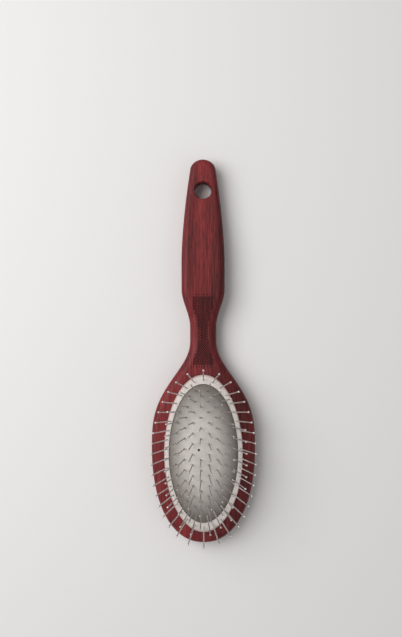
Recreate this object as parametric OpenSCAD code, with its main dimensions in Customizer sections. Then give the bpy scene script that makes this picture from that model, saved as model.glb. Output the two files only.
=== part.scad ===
// Oval pin brush: a hand-shaped wooden body, an air cushion seated in a routed pocket, a white
// rim ring over the cushion's edge, and steel pins that pass up through the cushion.
// The brush lies on its back. X is its width, +Y runs to the end of the handle, and +Z is the
// side that the pins stand on. The origin is under the middle of the brush, on its resting plane.

/* [Body outline] */
// Width of the head
head_w = 61.4; // [56:0.2:75]
// Length of the head from its widest line to its round end
head_end = 56.2; // [54:0.2:70]
// Length from the widest line of the head to the start of the neck
head_taper = 64; // [60:0.5:76]
// Width of the neck
neck_w = 15.6; // [13:0.2:20]
// Length of the straight neck
neck_len = 8; // [4:0.5:16]
// Length of the shoulder between the neck and the handle
shoulder_len = 22; // [16:0.5:34]
// Width of the handle at its widest
handle_w = 25.6; // [20:0.2:32]
// Length of the handle where it keeps its full width
grip_len = 16; // [6:0.5:40]
// Length of the handle's taper to its round end
handle_taper = 56; // [44:0.5:80]
// Width of the handle where its end begins to round
tail_w = 14.8; // [14:0.2:18]
// Length of the round end of the handle
tail_round = 5.3; // [4.8:0.1:10]

/* [Body thickness] */
// Thickness of the head
head_t = 14; // [12:0.2:18]
// Thickness of the neck
neck_t = 11.5; // [10.5:0.1:14]
// Thickness of the handle
handle_t = 15.6; // [12:0.2:20]
// Thickness of the handle round its hanging hole
tail_t = 12; // [10.5:0.1:14]
// How far the back of the neck lifts off the resting plane
neck_lift = 1.6; // [0.4:0.1:3]
// How far the back of the handle's end lifts off the resting plane
tail_lift = 1; // [0.2:0.1:2]

/* [Body edges] */
// How far the front edge of the head rounds in from the side
head_front_round = 3; // [1.5:0.1:3.4]
// How far the front edge of the neck rounds in from the side
neck_front_round = 5; // [2.5:0.1:5.6]
// How far the front edge of the handle rounds in from the side
handle_front_round = 3.8; // [2:0.1:5]
// How far the front edge of the handle's end rounds in
tail_front_round = 2.8; // [1.5:0.1:3]
// How far the back edge rounds in from the side
back_round = 5.8; // [3:0.1:6]
// How far the back edge of the handle's end rounds in
tail_back_round = 3; // [2:0.1:3.2]
// Depth of the rounding at the front edge
front_round_depth = 3.6; // [1.5:0.1:4]
// Depth of the rounding at the back edge
back_round_depth = 5.8; // [3:0.1:6]

/* [Hanging hole] */
// Diameter of the hole through the handle
hang_d = 10.2; // [8:0.1:10.6]
// Distance from the middle of the hole to the end of the handle
hang_from_end = 18.7; // [16:0.1:20]
// Width of the eased edge round the hole
hang_ease = 0.5; // [0.2:0.1:0.8]

/* [Cushion] */
// Width of the part of the cushion that shows inside the rim ring
cushion_w = 41; // [38:0.5:44]
// Length of the cushion compared with its width
oval = 2; // [1.8:0.05:2.1]
// Distance from the cushion's middle to the head's widest line, towards the round end
cushion_back = 3; // [0:0.2:4]
// Height of the cushion above the wood
cushion_rise = 5.6; // [4:0.1:8]
// Height of the upright foot of the cushion's dome
foot_step = 0.3; // [0.2:0.1:0.6]
// Thickness of the cushion's skin
skin_t = 1.4; // [1:0.1:2]
// Thickness of the cushion's flat edge, which lies under the rim ring
flange_t = 1.2; // [0.8:0.1:2]
// Diameter of the air vent
vent_d = 1.4; // [1:0.1:1.8]
// Distance from the air vent to the cushion's middle, towards the left
vent_left = 2.7; // [1:0.1:3.4]
// Distance from the air vent to the cushion's middle, towards the handle
vent_up = 2.7; // [2:0.1:4]

/* [Rim ring] */
// Width of the rim ring at the sides of the head
ring_w = 2.8; // [2.6:0.1:3.4]
// Thickness of the rim ring
ring_t = 0.8; // [0.5:0.1:1]
// Gap between the rim ring and the foot of the cushion
seam = 0.25; // [0.1:0.05:0.4]

/* [Pocket in the head] */
// Thickness of the wood under the air chamber
floor_t = 4; // [3:0.2:6]
// Width of the ledge that carries the cushion's edge
ledge_w = 1.3; // [1:0.1:1.4]
// Gap round the cushion's edge
fit_gap = 0.15; // [0.05:0.05:0.3]

/* [Pins] */
// Diameter of the wire
pin_d = 0.7; // [0.6:0.05:0.9]
// Diameter of the rounded tip
tip_d = 1.2; // [1:0.1:1.6]
// Length of a pin above the surface that it comes out of
pin_reach = 24; // [18:0.5:30]
// Diameter of the flat head under the skin
pin_head_d = 1.7; // [1.4:0.1:2]
// Thickness of the flat head
pin_head_t = 0.4; // [0.3:0.1:0.6]
// Gap between the skin and the flat head
head_gap = 0.25; // [0.2:0.05:0.3]
// Gap round a pin where it passes through the cushion and the ring
pin_gap = 0.03; // [0.02:0.01:0.06]
// Lean of the outermost pins at the sides of the cushion, in degrees
rim_lean = 20; // [14:0.5:22]
// Lean of the outermost pins at the two ends of the cushion, in degrees
end_lean = 17.5; // [12:0.5:22]
// Number of columns of pins on the cushion
columns = 8; // [6:1:9]
// Distance from the outer columns to the rim ring
column_margin = 3.35; // [3:0.05:5]
// How far the columns sit to the right of the cushion's middle
column_shift = 0.85; // [0:0.05:1]
// Distance between neighbouring pins in a column
pin_pitch = 6.15; // [5.5:0.05:8]
// Least distance from a column's pins to the rim ring
edge_margin = 1.5; // [1.4:0.1:3]
// Number of pins in the outermost row, which stands in the rim ring
rim_count = 38; // [30:2:40]
// Distance from the outermost row to the inner edge of the rim ring
rim_row_in = 1.1; // [1:0.05:1.4]

/* [Hidden] */
wood = [0.49, 0.16, 0.16];
rubber = [0.66, 0.63, 0.6];
felt = [0.84, 0.81, 0.78];
steel = [0.75, 0.75, 0.77];
beyond = 1;
// Smoothness of the small round pieces and of the large ovals
round_n = 24;
oval_n = 256;

// Places along the brush, measured from the widest line of the head
neck_from = head_taper;
shoulder_from = neck_from + neck_len;
grip_from = shoulder_from + shoulder_len;
taper_from = grip_from + grip_len;
tail_from = taper_from + handle_taper;
brush_end = tail_from + tail_round;
mid_y = (brush_end - head_end) / 2;
hang_y = brush_end - hang_from_end;
hang_flat = hang_y - 0.8 * hang_d;
// The rounded edges of the handle's end stay under the least radius of its outline
tail_bend = 2 * tail_round * tail_round / tail_w;
tail_front_in = min(tail_front_round, 0.8 * tail_bend);
tail_back_in = min(tail_back_round, 0.8 * tail_bend);

// The cushion, the ring and the pocket are circles of these radii, drawn out along Y by oval
cushion_r = cushion_w / 2;
foot_r = cushion_r - seam;
flange_r = cushion_r + ring_w;
recess_r = flange_r + fit_gap;
pocket_r = recess_r - ledge_w;
rim_row_r = cushion_r + rim_row_in;
field_r = cushion_r - edge_margin;
ledge_z = head_t - flange_t;
head_flat = flange_r * oval - cushion_back;

// The dome's top is bent to two circles, one across the cushion and one along it. It stands on a
// short upright foot, so that it rises out of the seam and not from a feather edge
dome_rise = cushion_rise - foot_step;
dome_across = (foot_r * foot_r + dome_rise * dome_rise) / (2 * dome_rise);
dome_along = (pow(foot_r * oval, 2) + dome_rise * dome_rise) / (2 * dome_rise);
dome_hub = dome_along - dome_across;
dome_z = head_t + cushion_rise - dome_along;

// How full the outline is: powers of the curves of the round end, the head, the neck and the handle
end_power = 2.2;
egg_power = 3;
egg_waist = 2.6;
taper_power = 1.7;
// How quickly the pins' lean grows, and how far out the columns would meet
lean_power = 1.4;
column_bow = 1.22;
vent_clear = 1.6;

function clamp01(v) = min(max(v, 0), 1);
function ease(v) = let (c = clamp01(v)) c * c * (3 - 2 * c);
function unit(v) = v / norm(v);

// A value that eases from one station to the next, where a station is [place, value]
function eased(y, stations, i = 0) =
    i >= len(stations) - 1 || y <= stations[i][0] ? stations[i][1]
    : y < stations[i + 1][0]
        ? stations[i][1] + (stations[i + 1][1] - stations[i][1])
            * ease((y - stations[i][0]) / (stations[i + 1][0] - stations[i][0]))
    : eased(y, stations, i + 1);

// Half the width of the body at a place along it
function egg(y) = pow(1 - pow(clamp01(y / head_taper), egg_power), egg_waist);
function taper(y) = pow(max(y - taper_from, 0) / handle_taper, taper_power);
function cap(v, power = 2) = pow(max(1 - pow(v, power), 0), 1 / power);
function half_width(y) =
    y < 0 ? head_w / 2 * cap(-y / head_end, end_power)
    : y < neck_from ? neck_w / 2 + (head_w - neck_w) / 2 * egg(y)
    : y < taper_from ? neck_w / 2 + (handle_w - neck_w) / 2 * ease((y - shoulder_from) / shoulder_len)
    : (handle_w / 2 - (handle_w - tail_w) / 2 * taper(y)) * cap(max(y - tail_from, 0) / tail_round);

// Heights of the front and the back of the body, and how far its front edge rounds in
function front_z(y) = eased(y, [[head_flat, head_t], [neck_from, neck_lift + neck_t],
    [grip_from, handle_t], [taper_from, handle_t], [hang_flat, tail_lift + tail_t]]);
function back_z(y) = eased(y, [[head_flat, 0], [neck_from, neck_lift],
    [shoulder_from, neck_lift], [grip_from, 0], [taper_from, 0], [hang_flat, tail_lift]]);
function front_in(y) = eased(y, [[0, head_front_round], [neck_from, neck_front_round],
    [shoulder_from, neck_front_round], [grip_from, handle_front_round],
    [taper_from, handle_front_round], [hang_flat, tail_front_in]]);
function back_in(y) = eased(y, [[taper_from, back_round], [hang_flat, tail_back_in]]);

// Places of the outline's points on the right-hand side, closer together where it turns fast
end_steps = 16;
egg_steps = 24;
neck_steps = 24;
taper_steps = 14;
tail_steps = 9;
side_y = concat(
    [for (i = [0 : end_steps - 1]) -head_end * cos(90 * i / end_steps)],
    [for (i = [0 : egg_steps - 1]) neck_from * i / egg_steps],
    [for (i = [0 : neck_steps - 1]) neck_from + (taper_from - neck_from) * i / neck_steps],
    [for (i = [0 : taper_steps - 1]) taper_from + handle_taper * i / taper_steps],
    [for (i = [0 : tail_steps]) tail_from + tail_round * sin(90 * i / tail_steps)]);
side_n = len(side_y);
loop_n = 2 * side_n - 2;
function side_point(i) = [half_width(side_y[i]), side_y[i]];
outline = concat(
    [for (i = [0 : side_n - 1]) side_point(i)],
    [for (i = [side_n - 2 : -1 : 1]) let (p = side_point(i)) [-p[0], p[1]]]);
inward = [for (i = [0 : loop_n - 1])
    let (run = outline[(i + 1) % loop_n] - outline[(i + loop_n - 1) % loop_n])
    unit([-run[1], run[0]])];

// Rings of points from the flat front, over the front edge and the side, to the flat back.
// A ring is [share of the inset, share of the depth, whether it belongs to the front]
front_steps = 5;
back_steps = 7;
rings = concat(
    [for (i = [0 : front_steps]) let (a = 90 * i / front_steps) [1 - sin(a), 1 - cos(a), true]],
    [for (i = [0 : back_steps]) let (a = 90 * i / back_steps) [1 - cos(a), 1 - sin(a), false]]);
function ring_point(ring, i) = let (
    inset = ring[2] ? front_in(outline[i][1]) : back_in(outline[i][1]),
    p = outline[i] + inward[i] * ring[0] * inset,
    z = ring[2] ? front_z(p[1]) - ring[1] * front_round_depth
        : back_z(p[1]) + ring[1] * back_round_depth)
    [p[0], p[1] - mid_y, z];

// Faces between two neighbouring rings, and across the ring that starts at a given point
function band(r) = [for (i = [0 : loop_n - 1])
    let (a = r * loop_n + i, b = r * loop_n + (i + 1) % loop_n)
    each [[a, b, b + loop_n], [a, b + loop_n, a + loop_n]]];
function flat(start) = [for (i = [0 : side_n - 2])
    let (r = start + i, l = start + (loop_n - i) % loop_n, l2 = start + loop_n - i - 1)
    each concat(i == 0 ? [] : [[r, l, l2]], i == side_n - 2 ? [] : [[r, l2, r + 1]])];
function flipped(faces) = [for (f = faces) [f[2], f[1], f[0]]];

// A pin is [place of its root from the cushion's middle, height of the root, depth to its head]
// Its lean grows with its distance from the middle, and points square to the oval through its root
function sideways(p) = let (v = [p[0], p[1] / (oval * oval)])
    norm(p) == 0 ? [0, 0] : [v[0] * rim_lean, v[1] * end_lean] / norm(v);
function lean(p) = norm(sideways(p)) * pow(norm([p[0], p[1] / oval]) / rim_row_r, lean_power);
function heading(p) = let (s = sideways(p)) atan2(s[1], s[0]);
function axis(p) = [sin(lean(p)) * cos(heading(p)), sin(lean(p)) * sin(heading(p)), cos(lean(p))];

// Height of the dome over a place, and its slope there as a vector that points straight out of it
function dome_reach(x) = dome_hub + sqrt(dome_across * dome_across - x * x);
function dome_top(p) = dome_z + sqrt(pow(dome_reach(p[0]), 2) - p[1] * p[1]);
function dome_out(p) = let (
    reach = dome_reach(p[0]),
    rest = (reach - dome_hub) / reach)
    [p[0], p[1] * rest, sqrt(reach * reach - p[1] * p[1]) * rest] / dome_across;

// Depth along a pin from the top of the dome to the underside of the skin or of the flat edge
function skin_depth(p) = min(skin_t / (dome_out(p) * axis(p)), (dome_top(p) - ledge_z) / axis(p)[2]);

// The columns bow in towards the ends of the cushion, and every other column is half a pitch on
function column_x(k) = column_shift
    + (cushion_r - column_margin) * (2 * (k - 1) / (columns - 1) - 1);
function column_pins(k) = let (
    first = k % 2 == 0 ? pin_pitch / 2 : 0,
    reach = ceil(cushion_r * oval / pin_pitch))
    [for (j = [-reach - 1 : reach])
        let (y = first + j * pin_pitch, bow = cap(y / (cushion_r * oval * column_bow)),
            p = [column_x(k) * bow, y])
        if (norm([p[0], p[1] / oval]) <= field_r && norm(p - [-vent_left, vent_up]) > vent_clear)
            [p, dome_top(p), skin_depth(p)]];

// The outermost row is spaced evenly along its oval, by length and not by angle
row_step = 2;
function row_point(a) = [rim_row_r * sin(a), -rim_row_r * oval * cos(a)];
function row_length(a) = a <= 0 ? 0
    : row_length(a - row_step) + norm(row_point(a) - row_point(a - row_step));
row_table = [for (a = [0 : row_step : 180]) [row_length(a), a]];
row_half = row_table[len(row_table) - 1][0];
rim_pin_list = [for (i = [0 : rim_count - 1])
    let (s = i * 2 * row_half / rim_count,
        a = s <= row_half ? lookup(s, row_table) : -lookup(2 * row_half - s, row_table),
        p = row_point(a))
    [p, head_t + ring_t,
        (ring_t + flange_t) / cos(lean(p)) + pin_head_d / 2 * tan(lean(p))]];

// Stands its children at the middle of the cushion, on the resting plane
module at_cushion() translate([0, -cushion_back - mid_y, 0]) children();

// Stands its children along a pin, with its root at the origin
module along_pin(pin)
    translate([pin[0][0], pin[0][1], pin[1]]) rotate([0, lean(pin[0]), heading(pin[0])]) children();

module pin(pin) along_pin(pin) {
    below = pin[2] + head_gap;
    translate([0, 0, -below]) cylinder(d = pin_d, h = below + pin_reach - tip_d / 2, $fn = round_n);
    translate([0, 0, pin_reach - tip_d / 2]) sphere(d = tip_d, $fn = round_n);
    translate([0, 0, -below - pin_head_t]) cylinder(d = pin_head_d, h = pin_head_t, $fn = round_n);
}

module pin_hole(pin) along_pin(pin)
    translate([0, 0, -pin[2] - beyond])
        cylinder(d = pin_d + 2 * pin_gap, h = pin[2] + 2 * beyond, $fn = round_n);

module blank() {
    points = [for (ring = rings) for (i = [0 : loop_n - 1]) ring_point(ring, i)];
    last = len(rings) - 1;
    bands = [for (r = [0 : last - 1]) each band(r)];
    polyhedron(points, concat(flat(0), bands, flipped(flat(last * loop_n))), convexity = 4);
}

module hang_hole() translate([0, hang_y - mid_y, 0]) {
    bottom = tail_lift;
    top = tail_lift + tail_t;
    translate([0, 0, -beyond]) cylinder(d = hang_d, h = top + 2 * beyond, $fn = oval_n);
    translate([0, 0, top - hang_ease])
        cylinder(d1 = hang_d, d2 = hang_d + 4 * hang_ease, h = 2 * hang_ease, $fn = oval_n);
    translate([0, 0, bottom - hang_ease])
        cylinder(d1 = hang_d + 4 * hang_ease, d2 = hang_d, h = 2 * hang_ease, $fn = oval_n);
}

// An upright oval from a height to a distance above the head's face
module oval_plug(radius, from_z, above) translate([0, 0, from_z])
    scale([1, oval, 1]) cylinder(r = radius, h = head_t - from_z + above, $fn = oval_n);

module body() color(wood) difference() {
    blank();
    at_cushion() {
        oval_plug(recess_r, ledge_z, beyond);
        oval_plug(pocket_r, floor_t, beyond);
    }
    hang_hole();
}

// The round body whose upper side is the dome, or the underside of its skin
module dome(across) translate([0, 0, dome_z]) rotate([0, 90, 0])
    rotate_extrude($fn = 2 * oval_n) translate([dome_hub, 0]) circle(r = across, $fn = oval_n);

module flange() difference() {
    oval_plug(flange_r, ledge_z, 0);
    for (pin = rim_pin_list) pin_hole(pin);
}

module skin() difference() {
    union() {
        intersection() {
            dome(dome_across);
            oval_plug(foot_r, ledge_z, cushion_rise);
        }
        flange();
    }
    dome(dome_across - skin_t);
    translate([-vent_left, vent_up, ledge_z])
        cylinder(d = vent_d, h = cushion_rise + flange_t + beyond, $fn = round_n);
}

module cushion() color(rubber) at_cushion() difference() {
    skin();
    for (k = [1 : columns]) for (pin = column_pins(k)) pin_hole(pin);
}

module rim_ring() color(felt) at_cushion() difference() {
    soft = ring_t / 2;
    translate([0, 0, head_t]) scale([1, oval, 1]) rotate_extrude($fn = oval_n) {
        translate([cushion_r, 0]) square([ring_w - soft, ring_t]);
        translate([cushion_r, 0]) square([ring_w, ring_t - soft]);
        translate([flange_r - soft, ring_t - soft]) circle(r = soft, $fn = round_n);
    }
    for (pin = rim_pin_list) pin_hole(pin);
}

module rim_pins() color(steel) at_cushion() for (pin = rim_pin_list) pin(pin);

module pin_column(k) color(steel) at_cushion() for (pin = column_pins(k)) pin(pin);

body();
cushion();
rim_ring();
rim_pins();
for (k = [1 : columns]) pin_column(k);
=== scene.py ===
import math

import bpy
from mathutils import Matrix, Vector, noise


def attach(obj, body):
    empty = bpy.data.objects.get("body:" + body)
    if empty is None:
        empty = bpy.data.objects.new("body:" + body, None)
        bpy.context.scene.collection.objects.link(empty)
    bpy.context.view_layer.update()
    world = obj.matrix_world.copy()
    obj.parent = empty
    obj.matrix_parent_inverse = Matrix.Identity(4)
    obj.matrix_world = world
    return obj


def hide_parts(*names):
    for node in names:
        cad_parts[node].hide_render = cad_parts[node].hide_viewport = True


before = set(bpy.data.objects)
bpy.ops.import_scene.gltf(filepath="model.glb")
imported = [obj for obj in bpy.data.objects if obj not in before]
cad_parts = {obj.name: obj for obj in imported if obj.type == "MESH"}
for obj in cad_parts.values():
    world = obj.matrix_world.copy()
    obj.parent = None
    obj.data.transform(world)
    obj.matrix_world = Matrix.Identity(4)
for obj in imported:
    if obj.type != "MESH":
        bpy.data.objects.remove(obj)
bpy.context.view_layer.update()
bpy.ops.object.select_all(action="DESELECT")
MM = 0.001


# Studio. A plain pale floor that the brush lies on, a pale surround, a large soft key light on
# the left, a weaker fill on the right, and the camera looking straight down on the pins.
def shader_nodes(owner):
    """Empties the nodes of a material or a world, and gives the function that adds new ones."""
    owner.use_nodes = True
    tree = owner.node_tree
    tree.nodes.clear()

    def add(kind, inputs=None, **settings):
        node = tree.nodes.new(kind)
        for name, value in settings.items():
            setattr(node, name, value)
        for name, value in (inputs or {}).items():
            if isinstance(value, bpy.types.NodeSocket):
                tree.links.new(value, node.inputs[name])
            else:
                node.inputs[name].default_value = value
        return node

    return add


FLOOR_SIZE = 6.0
FLOOR_COLOUR = (0.80, 0.79, 0.78, 1)
bpy.ops.mesh.primitive_plane_add(size=FLOOR_SIZE, location=(0, 0, 0))
floor = bpy.context.object
floor.name = "studio_floor"
floor_paper = bpy.data.materials.new("floor_paper")
add = shader_nodes(floor_paper)
paper = add("ShaderNodeBsdfPrincipled", {"Base Color": FLOOR_COLOUR, "Roughness": 0.9})
add("ShaderNodeOutputMaterial", {"Surface": paper.outputs[0]})
floor.data.materials.append(floor_paper)

SURROUND_COLOUR = (1.0, 0.99, 0.98, 1)
SURROUND_STRENGTH = 0.33
surround = bpy.data.worlds.new("studio_surround")
bpy.context.scene.world = surround
add = shader_nodes(surround)
glow = add("ShaderNodeBackground", {"Color": SURROUND_COLOUR, "Strength": SURROUND_STRENGTH})
add("ShaderNodeOutputWorld", {"Surface": glow.outputs[0]})


def soft_light(name, place, size, power):
    """A square soft light at a place, turned to face the brush."""
    bpy.ops.object.light_add(type="AREA", location=place)
    lamp = bpy.context.object
    lamp.name = name
    lamp.data.shape = "SQUARE"
    lamp.data.size = size
    lamp.data.energy = power
    lamp.rotation_euler = (-Vector(place)).to_track_quat("-Z", "Y").to_euler()


soft_light("key_light", place=(-0.48, 0.20, 0.70), size=0.7, power=6.6)
soft_light("fill_light", place=(0.80, -0.30, 0.75), size=0.9, power=0.6)

CAMERA_HEIGHT = 0.548
CAMERA_X = -0.0013
CAMERA_Y = 0.0191
CAMERA_ROLL = -0.13
LENS = 51.1
camera = bpy.data.objects.new("camera", bpy.data.cameras.new("camera"))
bpy.context.scene.collection.objects.link(camera)
camera.location = (CAMERA_X, CAMERA_Y, CAMERA_HEIGHT)
camera.rotation_euler = (0, 0, math.radians(CAMERA_ROLL))
camera.data.lens = LENS
camera.data.clip_start = 0.01
bpy.context.scene.camera = camera
bpy.context.scene.view_settings.view_transform = "Standard"


# Body. One piece of red-stained hardwood, cut to its outline, with its edges rounded by hand, a
# recess and a pocket routed in the head, a hanging hole, and clear lacquer over all of it.
HEAD_W, HEAD_END, HEAD_TAPER = 61.4, 56.2, 64
NECK_W, NECK_LEN, SHOULDER_LEN = 15.6, 8, 22
HANDLE_W, GRIP_LEN, HANDLE_TAPER = 25.6, 16, 56
TAIL_W, TAIL_ROUND = 14.8, 5.3
HEAD_T, NECK_T, HANDLE_T, TAIL_T = 14, 11.5, 15.6, 12
NECK_LIFT, TAIL_LIFT = 1.6, 1
HEAD_FRONT_ROUND, NECK_FRONT_ROUND, HANDLE_FRONT_ROUND, TAIL_FRONT_ROUND = 3, 5, 3.8, 2.8
BACK_ROUND, TAIL_BACK_ROUND, FRONT_ROUND_DEPTH, BACK_ROUND_DEPTH = 5.8, 3, 3.6, 5.8
END_POWER, EGG_POWER, EGG_WAIST, TAPER_POWER = 2.2, 3, 2.6, 1.7
HANG_D, HANG_FROM_END, HANG_EASE = 10.2, 18.7, 0.5

NECK_FROM = HEAD_TAPER
SHOULDER_FROM = NECK_FROM + NECK_LEN
GRIP_FROM = SHOULDER_FROM + SHOULDER_LEN
TAPER_FROM = GRIP_FROM + GRIP_LEN
TAIL_FROM = TAPER_FROM + HANDLE_TAPER
BRUSH_END = TAIL_FROM + TAIL_ROUND
MID_Y = (BRUSH_END - HEAD_END) / 2
HANG_Y = BRUSH_END - HANG_FROM_END
HANG_FLAT = HANG_Y - 0.8 * HANG_D

CUSHION_W, OVAL, CUSHION_BACK, CUSHION_RISE = 41, 2, 3, 5.6
FOOT_STEP, SKIN_T, FLANGE_T = 0.3, 1.4, 1.2
RING_W, RING_T, SEAM = 2.8, 0.8, 0.25
FLOOR_T, LEDGE_W, FIT_GAP = 4, 1.3, 0.15
CUSHION_R = CUSHION_W / 2
FOOT_R = CUSHION_R - SEAM
FLANGE_R = CUSHION_R + RING_W
RECESS_R = FLANGE_R + FIT_GAP
POCKET_R = RECESS_R - LEDGE_W
LEDGE_Z = HEAD_T - FLANGE_T
CUSHION_Y = -CUSHION_BACK - MID_Y
HEAD_FLAT = FLANGE_R * OVAL - CUSHION_BACK


def ease(v):
    """A smooth step from 0 to 1."""
    v = min(max(v, 0), 1)
    return v * v * (3 - 2 * v)


def eased(y, stations):
    """A value that eases from one (place, value) station to the next."""
    if y <= stations[0][0]:
        return stations[0][1]
    for (y0, v0), (y1, v1) in zip(stations, stations[1:]):
        if y < y1:
            return v0 + (v1 - v0) * ease((y - y0) / (y1 - y0))
    return stations[-1][1]


def half_width(y):
    """Half the body's width, at a distance from the widest line of the head."""
    if y < 0:
        return HEAD_W / 2 * max(1 - (-y / HEAD_END) ** END_POWER, 0) ** (1 / END_POWER)
    if y < NECK_FROM:
        waist = (1 - (y / HEAD_TAPER) ** EGG_POWER) ** EGG_WAIST
        return NECK_W / 2 + (HEAD_W - NECK_W) / 2 * waist
    if y < TAPER_FROM:
        return NECK_W / 2 + (HANDLE_W - NECK_W) / 2 * ease((y - SHOULDER_FROM) / SHOULDER_LEN)
    narrowing = ((y - TAPER_FROM) / HANDLE_TAPER) ** TAPER_POWER
    cap = math.sqrt(max(1 - (max(y - TAIL_FROM, 0) / TAIL_ROUND) ** 2, 0))
    return (HANDLE_W / 2 - (HANDLE_W - TAIL_W) / 2 * narrowing) * cap


def front_z(y):
    """Height of the front face."""
    return eased(y, [(HEAD_FLAT, HEAD_T), (NECK_FROM, NECK_LIFT + NECK_T), (GRIP_FROM, HANDLE_T),
                     (TAPER_FROM, HANDLE_T), (HANG_FLAT, TAIL_LIFT + TAIL_T)])


def back_z(y):
    """Height of the back face."""
    return eased(y, [(HEAD_FLAT, 0), (NECK_FROM, NECK_LIFT), (SHOULDER_FROM, NECK_LIFT),
                     (GRIP_FROM, 0), (TAPER_FROM, 0), (HANG_FLAT, TAIL_LIFT)])


def front_in(y):
    """How far in from the outline the front edge's rounding reaches."""
    return eased(y, [(0, HEAD_FRONT_ROUND), (NECK_FROM, NECK_FRONT_ROUND),
                     (SHOULDER_FROM, NECK_FRONT_ROUND), (GRIP_FROM, HANDLE_FRONT_ROUND),
                     (TAPER_FROM, HANDLE_FRONT_ROUND), (HANG_FLAT, TAIL_FRONT_ROUND)])


def back_in(y):
    """How far in from the outline the back edge's rounding reaches."""
    return eased(y, [(TAPER_FROM, BACK_ROUND), (HANG_FLAT, TAIL_BACK_ROUND)])


def spread(start, end, step):
    """Places from start up to end, about a step apart, without the end itself."""
    count = max(round((end - start) / step), 1)
    return [start + (end - start) * i / count for i in range(count)]


# Where the outline's points lie along the brush. They are closest together in the burnt grip
GRIP_BOTTOM, GRIP_TOP = 47.6, 91.2
HEAD_STEP, GRIP_STEP, HANDLE_STEP, TAPER_STEP = 1.5, 0.22, 1.3, 1.6
HEAD_END_STEPS, TAIL_STEPS = 40, 16
side_y = [-HEAD_END * math.cos(math.radians(90 * i / HEAD_END_STEPS))
          for i in range(HEAD_END_STEPS)]
side_y += spread(0, GRIP_BOTTOM, HEAD_STEP) + spread(GRIP_BOTTOM, GRIP_TOP, GRIP_STEP)
side_y += spread(GRIP_TOP, TAPER_FROM, HANDLE_STEP) + spread(TAPER_FROM, TAIL_FROM, TAPER_STEP)
side_y += [TAIL_FROM + TAIL_ROUND * math.sin(math.radians(90 * i / TAIL_STEPS))
           for i in range(TAIL_STEPS + 1)]


def side_station(i):
    """A point of the outline on the right-hand side, and the direction from it into the wood."""
    p = Vector((half_width(side_y[i]), side_y[i]))
    if i in (0, len(side_y) - 1):
        return p, Vector((0, 1 if i == 0 else -1))
    run = Vector((half_width(side_y[i + 1]), side_y[i + 1])) - Vector(
        (half_width(side_y[i - 1]), side_y[i - 1]))
    return p, Vector((-run.y, run.x)).normalized()


side = [side_station(i) for i in range(len(side_y))]


def wood_face(name, flat_columns, round_columns, inset, depth, height, rise, wall_to=None):
    """One face of the body with its rounded edge, and with the upright side if it is asked for."""
    edge_columns = round_columns + (1 if wall_to else 0)
    across, along = flat_columns + 2 * edge_columns, len(side) - 1
    bpy.ops.mesh.primitive_grid_add(x_subdivisions=across, y_subdivisions=along, size=2)
    face = bpy.context.object
    face.name = name
    for v in face.data.vertices:
        column = round((v.co.x + 1) / 2 * across)
        p, inward = side[round((v.co.y + 1) / 2 * along)]
        past = max(edge_columns - column, column - across + edge_columns, 0)
        turn = math.radians(90 * min(past / round_columns, 1))
        q = p + inward * inset(p.y) * (1 - math.sin(turn))
        share = min(max((column - edge_columns) / flat_columns * 2 - 1, -1), 1)
        z = height(q.y) + rise * depth * (1 - math.cos(turn))
        v.co = Vector((q.x * share, q.y - MID_Y, wall_to(q.y) if past > round_columns else z)) * MM
    return face


def pick(piece):
    """Makes a piece the active one, and the only one that is selected."""
    bpy.ops.object.select_all(action="DESELECT")
    piece.select_set(True)
    bpy.context.view_layer.objects.active = piece


def close_seams(gap, turn_outwards=True):
    """Merges the active piece's points within a gap, and turns its faces outwards if asked."""
    bpy.ops.object.mode_set(mode="EDIT")
    bpy.ops.mesh.select_all(action="SELECT")
    bpy.ops.mesh.remove_doubles(threshold=gap * MM)
    if turn_outwards:
        bpy.ops.mesh.normals_make_consistent(inside=False)
    bpy.ops.object.mode_set(mode="OBJECT")


def smooth(piece, sharp):
    """Shades a piece smoothly, but for edges that bend by more than an angle in degrees."""
    pick(piece)
    bpy.ops.object.shade_smooth_by_angle(angle=math.radians(sharp))


def carve(piece, cutter):
    """Takes a cutter's shape out of a piece, and the cutter away."""
    cut = piece.modifiers.new("cut", "BOOLEAN")
    cut.operation = "DIFFERENCE"
    cut.solver = "EXACT"
    cut.object = cutter
    bpy.context.view_layer.objects.active = piece
    bpy.ops.object.modifier_apply(modifier=cut.name)
    bpy.data.objects.remove(cutter)


def oval_cutter(radius, bottom):
    """A cutter with the cushion's oval, from a height up to just above the head's face."""
    top = HEAD_T + 1
    bpy.ops.mesh.primitive_cylinder_add(
        vertices=256, radius=radius * MM, depth=(top - bottom) * MM,
        location=(0, CUSHION_Y * MM, (top + bottom) / 2 * MM))
    bpy.context.object.scale.y = OVAL
    return bpy.context.object


def hang_cutter():
    """The drill with a countersink at each end, which eases the hole's edges."""
    bottom, top = TAIL_LIFT, TAIL_LIFT + TAIL_T
    bpy.ops.mesh.primitive_cylinder_add(
        vertices=96, radius=HANG_D / 2 * MM, depth=(TAIL_T - 2 * HANG_EASE) * MM,
        location=(0, (HANG_Y - MID_Y) * MM, (bottom + top) / 2 * MM))
    drill = bpy.context.object
    grow = 1 + 4 * HANG_EASE / HANG_D
    for end in (-1, 1):
        bpy.ops.object.mode_set(mode="EDIT")
        bpy.ops.mesh.select_all(action="DESELECT")
        bpy.ops.object.mode_set(mode="OBJECT")
        for face in drill.data.polygons:
            face.select = face.normal.z * end > 0.9
        bpy.ops.object.mode_set(mode="EDIT")
        bpy.ops.mesh.extrude_region_move(
            TRANSFORM_OT_translate={"value": (0, 0, end * 2 * HANG_EASE * MM)})
        bpy.ops.transform.resize(value=(grow, grow, 1))
        bpy.ops.object.mode_set(mode="OBJECT")
    return drill


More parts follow.
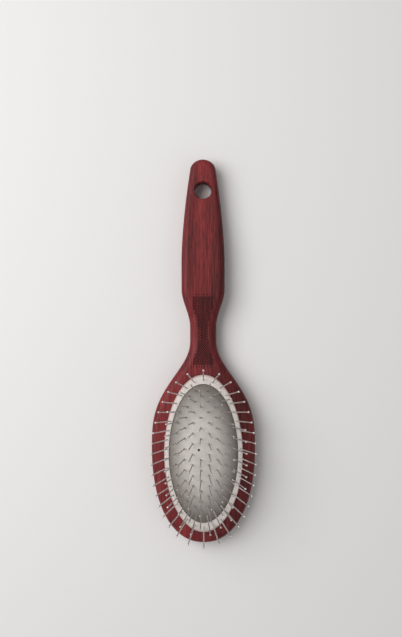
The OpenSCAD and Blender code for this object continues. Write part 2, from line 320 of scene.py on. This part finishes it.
FRONT_COLUMNS, BACK_COLUMNS, ROUND_COLUMNS = 96, 16, 8
front = wood_face("body_front", FRONT_COLUMNS, ROUND_COLUMNS, front_in, FRONT_ROUND_DEPTH,
                  front_z, -1)
back = wood_face("body_back", BACK_COLUMNS, ROUND_COLUMNS, back_in, BACK_ROUND_DEPTH,
                 back_z, 1, lambda y: front_z(y) - FRONT_ROUND_DEPTH)
pick(front)
back.select_set(True)
bpy.ops.object.join()
brush_body = bpy.context.object
brush_body.name = "wooden_body"
close_seams(0.01)
carve(brush_body, oval_cutter(RECESS_R, LEDGE_Z))
carve(brush_body, oval_cutter(POCKET_R, FLOOR_T))
carve(brush_body, hang_cutter())
smooth(brush_body, 28)

# The grip on the neck is burnt in: crossing lines, and a row of short marks at each end of them
LINE_PITCH, LINE_WIDTH, LINE_DEPTH, LINE_FLANK = 1.06, 0.62, 0.16, 1.3
MARK_PITCH, MARK_WIDTH, MARK_LENGTH = 1.6, 0.7, 1.1
MARK_GAP, MARK_FADE = 0.4, 0.2
GRIP_HALF = 6.0
# Only points that lie this near the front face are burnt
FACE_NEAR = 0.2


def line_mask(place, pitch, width):
    """1 in the middle of one of many parallel lines, falling softly to 0 at its edges."""
    off = abs((place / pitch) % 1 - 0.5) * pitch
    return ease(LINE_FLANK * (1 - off / (width / 2)))


def burnt(x, y):
    """How far the wood is burnt at a place, from the middle and from the head's widest line."""
    if not GRIP_BOTTOM < y < GRIP_TOP or abs(x) > min(half_width(y) - front_in(y), GRIP_HALF):
        return 0
    from_end = min(y - GRIP_BOTTOM, GRIP_TOP - y)
    if from_end < MARK_LENGTH + MARK_GAP:
        inside = ease(min(from_end, MARK_LENGTH - from_end) / MARK_FADE)
        return inside * line_mask(x, MARK_PITCH, MARK_WIDTH) if abs(x) < GRIP_HALF - MARK_GAP else 0
    return max(line_mask((x + y) / math.sqrt(2), LINE_PITCH, LINE_WIDTH),
               line_mask((x - y) / math.sqrt(2), LINE_PITCH, LINE_WIDTH))


burn = brush_body.data.attributes.new("burn", "FLOAT", "POINT")
for v in brush_body.data.vertices:
    x, y = v.co.x / MM, v.co.y / MM + MID_Y
    if v.co.z / MM > front_z(y) - FACE_NEAR and burnt(x, y) > 0:
        burn.data[v.index].value = burnt(x, y)
        v.co.z -= burnt(x, y) * LINE_DEPTH * MM


def two_tone(add, share, low, low_colour, high, high_colour):
    """A colour that goes from one to another while a share goes from a low to a high value."""
    ramp = add("ShaderNodeValToRGB", {"Fac": share})
    tones = ((low, low_colour), (high, high_colour))
    for stop, (position, colour) in zip(ramp.color_ramp.elements, tones):
        stop.position = position
        stop.color = colour
    return ramp.outputs[0]


def blend(add, share, under, over):
    """Two colours mixed by a share, which is 0 where only the first of them shows."""
    mix = add("ShaderNodeMix", {0: share, 6: under, 7: over}, data_type="RGBA")
    return mix.outputs[2]


DARK_WOOD, LIGHT_WOOD = (0.118, 0.011, 0.0125, 1), (0.255, 0.0265, 0.029, 1)
BURNT_WOOD = (0.008, 0.002, 0.002, 1)
lacquered_wood = bpy.data.materials.new("lacquered_wood")
add = shader_nodes(lacquered_wood)
place = add("ShaderNodeTexCoord").outputs["Object"]
# Broad bands of darker and lighter wood, fine streaks, and short dark pores, all along the brush
band_place = add("ShaderNodeMapping", {"Vector": place, "Scale": (110, 9, 60)})
bands = add("ShaderNodeTexNoise", {"Vector": band_place.outputs[0], "Scale": 1, "Detail": 3,
                                   "Roughness": 0.6, "Distortion": 0.4})
streak_place = add("ShaderNodeMapping", {"Vector": place, "Scale": (1400, 45, 700)})
streaks = add("ShaderNodeTexNoise", {"Vector": streak_place.outputs[0], "Scale": 1, "Detail": 4,
                                     "Roughness": 0.65})
pore_place = add("ShaderNodeMapping", {"Vector": place, "Scale": (2600, 170, 1300)})
pores = add("ShaderNodeTexNoise", {"Vector": pore_place.outputs[0], "Scale": 1, "Detail": 2})
band_colour = two_tone(add, bands.outputs[0], 0.32, DARK_WOOD, 0.68, LIGHT_WOOD)
streak_tone = add("ShaderNodeMapRange", {"Value": streaks.outputs[0], "From Min": 0.3,
                                         "From Max": 0.7, "To Min": 0.35, "To Max": 1.5})
pore_tone = add("ShaderNodeMapRange", {"Value": pores.outputs[0], "From Min": 0.56,
                                       "From Max": 0.7, "To Min": 1.0, "To Max": 0.45})
tone = add("ShaderNodeMath", {0: streak_tone.outputs[0], 1: pore_tone.outputs[0]},
           operation="MULTIPLY")
# Painted shade: the wood's colour darkens along the brush's right-hand side, where shade falls
DARKENS_FROM, DARKENS_TO, SHADED_SIDE_TONE = -4, 14, 0.6
across = add("ShaderNodeSeparateXYZ", {0: place}).outputs["X"]
painted_side_shade = add("ShaderNodeMapRange", {
    "Value": across, "From Min": DARKENS_FROM * MM, "From Max": DARKENS_TO * MM,
    "To Min": 1.0, "To Max": SHADED_SIDE_TONE}, interpolation_type="SMOOTHSTEP")
# The grain's tone, times the painted shade of the right-hand side
grain_and_painted_shade = add("ShaderNodeMath", {0: tone.outputs[0], 1: painted_side_shade.outputs[0]},
                operation="MULTIPLY")
wood_colour = add("ShaderNodeVectorMath", {0: band_colour, "Scale": grain_and_painted_shade.outputs[0]},
                  operation="SCALE")
burn_share = add("ShaderNodeAttribute", attribute_name="burn").outputs["Fac"]
burnt_gloss = add("ShaderNodeMapRange", {"Value": burn_share, "To Min": 0.58, "To Max": 0.95})
grain_bump = add("ShaderNodeBump", {"Height": pore_tone.outputs[0], "Strength": 0.25,
                                    "Distance": 0.06 * MM})
wood = add("ShaderNodeBsdfPrincipled", {
    "Base Color": blend(add, burn_share, wood_colour.outputs[0], BURNT_WOOD),
    "Roughness": burnt_gloss.outputs[0], "Normal": grain_bump.outputs[0],
    "Specular IOR Level": 0.24, "Coat Weight": 0.05, "Coat Roughness": 0.3})
add("ShaderNodeOutputMaterial", {"Surface": wood.outputs[0]})
brush_body.data.materials.append(lacquered_wood)
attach(brush_body, "root")
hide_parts("body")


# Cushion. A dome of pale grey rubber, moulded in one with the flat edge that the ring holds
# down. It is dimpled where each pin passes through it, and has a small air vent.
RIM_LEAN, END_LEAN, LEAN_POWER = 20, 17.5, 1.4
COLUMNS, COLUMN_MARGIN, COLUMN_SHIFT, COLUMN_BOW = 8, 3.35, 0.85, 1.22
PIN_PITCH, EDGE_MARGIN, RIM_COUNT, RIM_ROW_IN = 6.15, 1.5, 38, 1.1
VENT_D, VENT_LEFT, VENT_UP, VENT_CLEAR = 1.4, 2.7, 2.7, 1.6
RIM_ROW_R = CUSHION_R + RIM_ROW_IN
FIELD_R = CUSHION_R - EDGE_MARGIN
DOME_RISE = CUSHION_RISE - FOOT_STEP
DOME_ACROSS = (FOOT_R ** 2 + DOME_RISE ** 2) / (2 * DOME_RISE)
DOME_ALONG = ((FOOT_R * OVAL) ** 2 + DOME_RISE ** 2) / (2 * DOME_RISE)
DOME_Z = HEAD_T + CUSHION_RISE - DOME_ALONG
DIMPLE_DEPTH, DIMPLE_R, DIMPLE_REACH = 0.22, 1.1, 3


def dome_top(x, y, across):
    """Height of the dome over a place, for the radius of its outside or of its inside."""
    reach = DOME_ALONG - DOME_ACROSS + math.sqrt(across ** 2 - x ** 2)
    return DOME_Z + math.sqrt(reach ** 2 - y ** 2)


def column_places(k):
    """Where the pins of a column stand, from the middle of the cushion."""
    x = COLUMN_SHIFT + (CUSHION_R - COLUMN_MARGIN) * (2 * (k - 1) / (COLUMNS - 1) - 1)
    first = PIN_PITCH / 2 if k % 2 == 0 else 0
    reach = math.ceil(CUSHION_R * OVAL / PIN_PITCH)
    found = []
    for j in range(-reach - 1, reach + 1):
        y = first + j * PIN_PITCH
        bow = math.sqrt(max(1 - (y / (CUSHION_R * OVAL * COLUMN_BOW)) ** 2, 0))
        clear = math.hypot(x * bow + VENT_LEFT, y - VENT_UP) > VENT_CLEAR
        if math.hypot(x * bow, y / OVAL) <= FIELD_R and clear:
            found.append((x * bow, y))
    return found


def row_places():
    """Where the pins of the outermost row stand, evenly spaced along their oval."""
    steps = 720
    points = [(RIM_ROW_R * math.sin(2 * math.pi * i / steps),
               -RIM_ROW_R * OVAL * math.cos(2 * math.pi * i / steps)) for i in range(steps + 1)]
    lengths = [0.0]
    for a, b in zip(points, points[1:]):
        lengths.append(lengths[-1] + math.dist(a, b))
    found = []
    for i in range(RIM_COUNT):
        wanted = lengths[-1] * i / RIM_COUNT
        found.append(points[min(range(steps), key=lambda n: abs(lengths[n] - wanted))])
    return found


pad_places = [p for k in range(1, COLUMNS + 1) for p in column_places(k)]
rim_places = row_places()


def dimple(x, y, places, depth, radius):
    """How far the surface sinks round the pins that stand near a place."""
    reach = DIMPLE_REACH * radius
    return depth * sum(math.exp(-((x - px) ** 2 + (y - py) ** 2) / radius ** 2)
                       for px, py in places if abs(x - px) < reach and abs(y - py) < reach)


def oval_piece(name, around, along, shape):
    """A closed piece round the cushion's middle, from a grid: shape(turn, row) gives a point."""
    bpy.ops.mesh.primitive_grid_add(x_subdivisions=around, y_subdivisions=along, size=2)
    piece = bpy.context.object
    piece.name = name
    for v in piece.data.vertices:
        turn = round((v.co.x + 1) / 2 * around) % around
        x, y, z = shape(2 * math.pi * turn / around, round((v.co.y + 1) / 2 * along))
        v.co = Vector((x, y + CUSHION_Y, z)) * MM
    close_seams(0.005)
    return piece


HALVINGS = 30


def inner_reach(turn):
    """How far out the dome's underside comes down to the ledge, found by halving a range."""
    low, high = FOOT_R / 2, FLANGE_R
    for _ in range(HALVINGS):
        r = (low + high) / 2
        z = dome_top(r * math.sin(turn), -r * OVAL * math.cos(turn), DOME_ACROSS - SKIN_T)
        low, high = (r, high) if z > LEDGE_Z else (low, r)
    return low


CUSHION_AROUND, TOP_ROWS, INNER_ROWS = 320, 72, 24
FLAT_EDGE = [(FOOT_R, HEAD_T), (FLANGE_R, HEAD_T), (FLANGE_R, LEDGE_Z)]
FIRST_INNER_ROW = TOP_ROWS + len(FLAT_EDGE) + 1


def cushion_shape(turn, row):
    """From the top of the dome down over its foot and flat edge, and back up inside it."""
    sine, cosine = math.sin(turn), -OVAL * math.cos(turn)
    if row <= TOP_ROWS:
        r = FOOT_R * row / TOP_ROWS
        x, y = r * sine, r * cosine
        z = dome_top(x, y, DOME_ACROSS) - dimple(x, y, pad_places, DIMPLE_DEPTH, DIMPLE_R)
        return x, y, z
    if row < FIRST_INNER_ROW:
        r, z = FLAT_EDGE[row - TOP_ROWS - 1]
        return r * sine, r * cosine, z
    r = inner_reach(turn) * (1 - (row - FIRST_INNER_ROW) / INNER_ROWS)
    x, y = r * sine, r * cosine
    return x, y, dome_top(x, y, DOME_ACROSS - SKIN_T)


cushion = oval_piece("air_cushion", CUSHION_AROUND, FIRST_INNER_ROW + INNER_ROWS, cushion_shape)
VENT_CUT, VENT_CUT_DOWN = 3, 0.8
bpy.ops.mesh.primitive_cylinder_add(
    vertices=32, radius=VENT_D / 2 * MM, depth=VENT_CUT * MM,
    location=(-VENT_LEFT * MM, (CUSHION_Y + VENT_UP) * MM,
              (HEAD_T + CUSHION_RISE - VENT_CUT_DOWN) * MM))
carve(cushion, bpy.context.object)


def lean_and_heading(x, y):
    """How far a pin that stands at a place leans, and towards where."""
    out = Vector((x, y / OVAL ** 2)).normalized()
    lean = Vector((out.x * RIM_LEAN, out.y * END_LEAN))
    share = (math.hypot(x, y / OVAL) / RIM_ROW_R) ** LEAN_POWER
    return math.radians(lean.length * share), math.atan2(lean.y, lean.x)


# Each pin draws the rubber in with it, to a funnel that is wide at the mouth and leans as it does
PUCKER_ROOT_R, PUCKER_MOUTH_R = 0.308, 0.7
PUCKER_DEPTH, PUCKER_OVER = 0.7, 0.4
puckers = []
for x, y in pad_places:
    lean, heading = lean_and_heading(x, y)
    middle = dome_top(x, y, DOME_ACROSS) - (PUCKER_DEPTH - PUCKER_OVER) / 2 - DIMPLE_DEPTH
    bpy.ops.mesh.primitive_cone_add(
        vertices=14, radius1=PUCKER_ROOT_R * MM, radius2=PUCKER_MOUTH_R * MM,
        depth=(PUCKER_DEPTH + PUCKER_OVER) * MM, rotation=(0, lean, heading),
        location=(x * MM, (CUSHION_Y + y) * MM, middle * MM))
    puckers.append(bpy.context.object)
bpy.ops.object.select_all(action="DESELECT")
for pucker in puckers:
    pucker.select_set(True)
bpy.ops.object.join()
carve(cushion, bpy.context.object)
smooth(cushion, 40)


def out_from_middle(add, place, radius):
    """How far out a place is from the cushion's middle, 1 on the oval of a given radius."""
    from_middle = add("ShaderNodeMapping", {
        "Vector": place, "Location": (0, -CUSHION_Y / (OVAL * radius), 0),
        "Scale": (1 / (radius * MM), 1 / (OVAL * radius * MM), 0)})
    out = add("ShaderNodeVectorMath", {0: from_middle.outputs[0]}, operation="LENGTH")
    return out.outputs["Value"]


# The edge colour is painted shade, where the dome falls away to its edge
PAD_TOP, PAD_EDGE_SHADE = (0.64, 0.60, 0.565, 1), (0.15, 0.128, 0.112, 1)
pad_rubber = bpy.data.materials.new("pad_rubber")
add = shader_nodes(pad_rubber)
place = add("ShaderNodeTexCoord").outputs["Object"]
# Painted shade: the rubber is pale on top of the dome, and painted darker grey towards its edge
pad_painted_shade_colour = two_tone(add, out_from_middle(add, place, FOOT_R), 0.48, PAD_TOP, 1.0, PAD_EDGE_SHADE)
mottle = add("ShaderNodeTexNoise", {"Vector": place, "Scale": 260, "Detail": 4, "Roughness": 0.6})
mottle_tone = add("ShaderNodeMapRange", {"Value": mottle.outputs[0], "From Min": 0.3,
                                         "From Max": 0.7, "To Min": 0.93, "To Max": 1.06})
rubber_colour = add("ShaderNodeVectorMath", {0: pad_painted_shade_colour, "Scale": mottle_tone.outputs[0]},
                    operation="SCALE")
skin_grain = add("ShaderNodeTexNoise", {"Vector": place, "Scale": 3500, "Detail": 2})
skin_bump = add("ShaderNodeBump", {"Height": skin_grain.outputs[0], "Strength": 0.2,
                                   "Distance": 0.04 * MM})
rubber = add("ShaderNodeBsdfPrincipled", {
    "Base Color": rubber_colour.outputs[0], "Roughness": 0.5, "Normal": skin_bump.outputs[0]})
add("ShaderNodeOutputMaterial", {"Surface": rubber.outputs[0]})
cushion.data.materials.append(pad_rubber)
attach(cushion, "root")
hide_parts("cushion")


# Rim ring. A band of pressed off-white felt, cut to an oval and laid over the cushion's flat
# edge. Its inner edge is cut clean, and its outer edge and its face are short-fibred and soft.
FELT_EDGE, FELT_LIP, LIP_CORNER = 0.4, 0.1, 0.3
FRAY, FRAY_LAYER, FRAY_SCALE = 0.25, 7, 2.2
WAVE, WAVE_LAYER, WAVE_SCALE, WAVE_SINK = 0.07, 0, 0.9, 0.03
TUFT, TUFT_LAYER, TUFT_SCALE = 0.05, 3, 2.6
FELT_DIMPLE_DEPTH, FELT_DIMPLE_R = 0.2, 0.8
SOFT_FROM = 0.3
RING_AROUND, FACE_ROWS = 560, 14
RING_TOP = HEAD_T + RING_T
ring_profile = [(CUSHION_R, HEAD_T), (CUSHION_R, RING_TOP - FELT_LIP),
                (CUSHION_R + FELT_LIP * LIP_CORNER, RING_TOP - FELT_LIP * LIP_CORNER)]
ring_profile += [(CUSHION_R + FELT_LIP + (RING_W - FELT_EDGE - FELT_LIP) * i / FACE_ROWS, RING_TOP)
                 for i in range(FACE_ROWS + 1)]
ring_profile += [(FLANGE_R - FELT_EDGE * (1 - math.sin(math.radians(a))),
                  RING_TOP - FELT_EDGE * (1 - math.cos(math.radians(a))))
                 for a in (22, 45, 67, 90)]
ring_profile += [(FLANGE_R, HEAD_T), (CUSHION_R, HEAD_T)]


def unevenness(x, y, layer, scale):
    """A soft wandering between -1 and 1, with a pattern of its own in each layer."""
    return noise.noise(Vector((x, y, layer)) * scale)


def ring_shape(turn, row):
    """A point of the ring, with its outer edge frayed and its face a little uneven."""
    r, z = ring_profile[row]
    x, y = r * math.sin(turn), -r * OVAL * math.cos(turn)
    if r > FLANGE_R - FELT_EDGE / 2:
        frayed = 1 - FRAY / r * abs(unevenness(x, y, FRAY_LAYER, FRAY_SCALE))
        x, y = x * frayed, y * frayed
    if z > HEAD_T + SOFT_FROM:
        z += WAVE * unevenness(x, y, WAVE_LAYER, WAVE_SCALE) - WAVE_SINK
        z += TUFT * unevenness(x, y, TUFT_LAYER, TUFT_SCALE)
        z -= dimple(x, y, rim_places, FELT_DIMPLE_DEPTH, FELT_DIMPLE_R)
    return x, y, z


rim_ring = oval_piece("felt_ring", RING_AROUND, len(ring_profile) - 1, ring_shape)
smooth(rim_ring, 50)

FELT_SHADE, FELT_WHITE = (0.60, 0.535, 0.49, 1), (0.76, 0.70, 0.66, 1)
THIN_FELT, THIN_EDGE = (0.40, 0.20, 0.18, 1), 0.95
white_felt = bpy.data.materials.new("white_felt")
add = shader_nodes(white_felt)
place = add("ShaderNodeTexCoord").outputs["Object"]
fibres = add("ShaderNodeTexNoise", {"Vector": place, "Scale": 2600, "Detail": 6,
                                    "Roughness": 0.75, "Distortion": 1.5})
tufts = add("ShaderNodeTexNoise", {"Vector": place, "Scale": 420, "Detail": 3})
felt_tone = add("ShaderNodeMath", {0: fibres.outputs[0], 1: tufts.outputs[0]}, operation="ADD")
felt_colour = two_tone(add, felt_tone.outputs[0], 0.7, FELT_SHADE, 1.0, FELT_WHITE)
# The felt thins out at its outer edge, and the red of the wood shows through the fibres there
thinned = add("ShaderNodeMapRange", {
    "Value": out_from_middle(add, place, FLANGE_R), "From Min": 1 - THIN_EDGE / FLANGE_R,
    "From Max": 1.0, "To Min": 0.0, "To Max": 0.85}, interpolation_type="SMOOTHSTEP")
felt_bump = add("ShaderNodeBump", {"Height": felt_tone.outputs[0], "Strength": 0.5,
                                   "Distance": 0.12 * MM})
felt = add("ShaderNodeBsdfPrincipled", {
    "Base Color": blend(add, thinned.outputs[0], felt_colour, THIN_FELT), "Roughness": 0.95,
    "Normal": felt_bump.outputs[0], "Sheen Weight": 0.35, "Sheen Roughness": 0.5})
add("ShaderNodeOutputMaterial", {"Surface": felt.outputs[0]})
rim_ring.data.materials.append(white_felt)
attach(rim_ring, "root")
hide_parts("rim_ring")


# Pins. Drawn steel wire, polished bright, with a rounded tip at one end and a flat head under
# the cushion's skin at the other. Each column of them, and the outermost row, is one piece.
STEEL_SHADE, STEEL_BRIGHT = (0.65, 0.605, 0.59, 1), (0.83, 0.775, 0.76, 1)
pin_steel = bpy.data.materials.new("pin_steel")
add = shader_nodes(pin_steel)
place = add("ShaderNodeTexCoord").outputs["Object"]
drawn = add("ShaderNodeMapping", {"Vector": place, "Scale": (1, 1, 0.08)})
lines = add("ShaderNodeTexNoise", {"Vector": drawn.outputs[0], "Scale": 6000, "Detail": 2})
polish = add("ShaderNodeMapRange", {"Value": lines.outputs[0], "From Min": 0.3, "From Max": 0.7,
                                    "To Min": 0.3, "To Max": 0.42})
line_colour = two_tone(add, lines.outputs[0], 0, STEEL_SHADE, 1, STEEL_BRIGHT)
# Painted shade and reflection: the wire is darker among the other pins than where it stands clear
painted_bed_shade = add("ShaderNodeMapRange", {
    "Value": out_from_middle(add, place, FOOT_R), "From Min": 1.0, "From Max": 1.22,
    "To Min": 0.68, "To Max": 1.0})
steel_colour = add("ShaderNodeVectorMath", {0: line_colour, "Scale": painted_bed_shade.outputs[0]},
                   operation="SCALE")
steel = add("ShaderNodeBsdfPrincipled", {
    "Base Color": steel_colour.outputs[0], "Metallic": 1.0, "Roughness": polish.outputs[0]})
add("ShaderNodeOutputMaterial", {"Surface": steel.outputs[0]})

for node in ["rim_pins"] + [f"pin_column_{k}" for k in range(1, COLUMNS + 1)]:
    pins = bpy.data.objects.new(node + "_bright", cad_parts[node].data.copy())
    bpy.context.scene.collection.objects.link(pins)
    pick(pins)
    close_seams(0.002, turn_outwards=False)
    smooth(pins, 40)
    pins.data.materials.clear()
    pins.data.materials.append(pin_steel)
    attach(pins, "root")
    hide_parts(node)
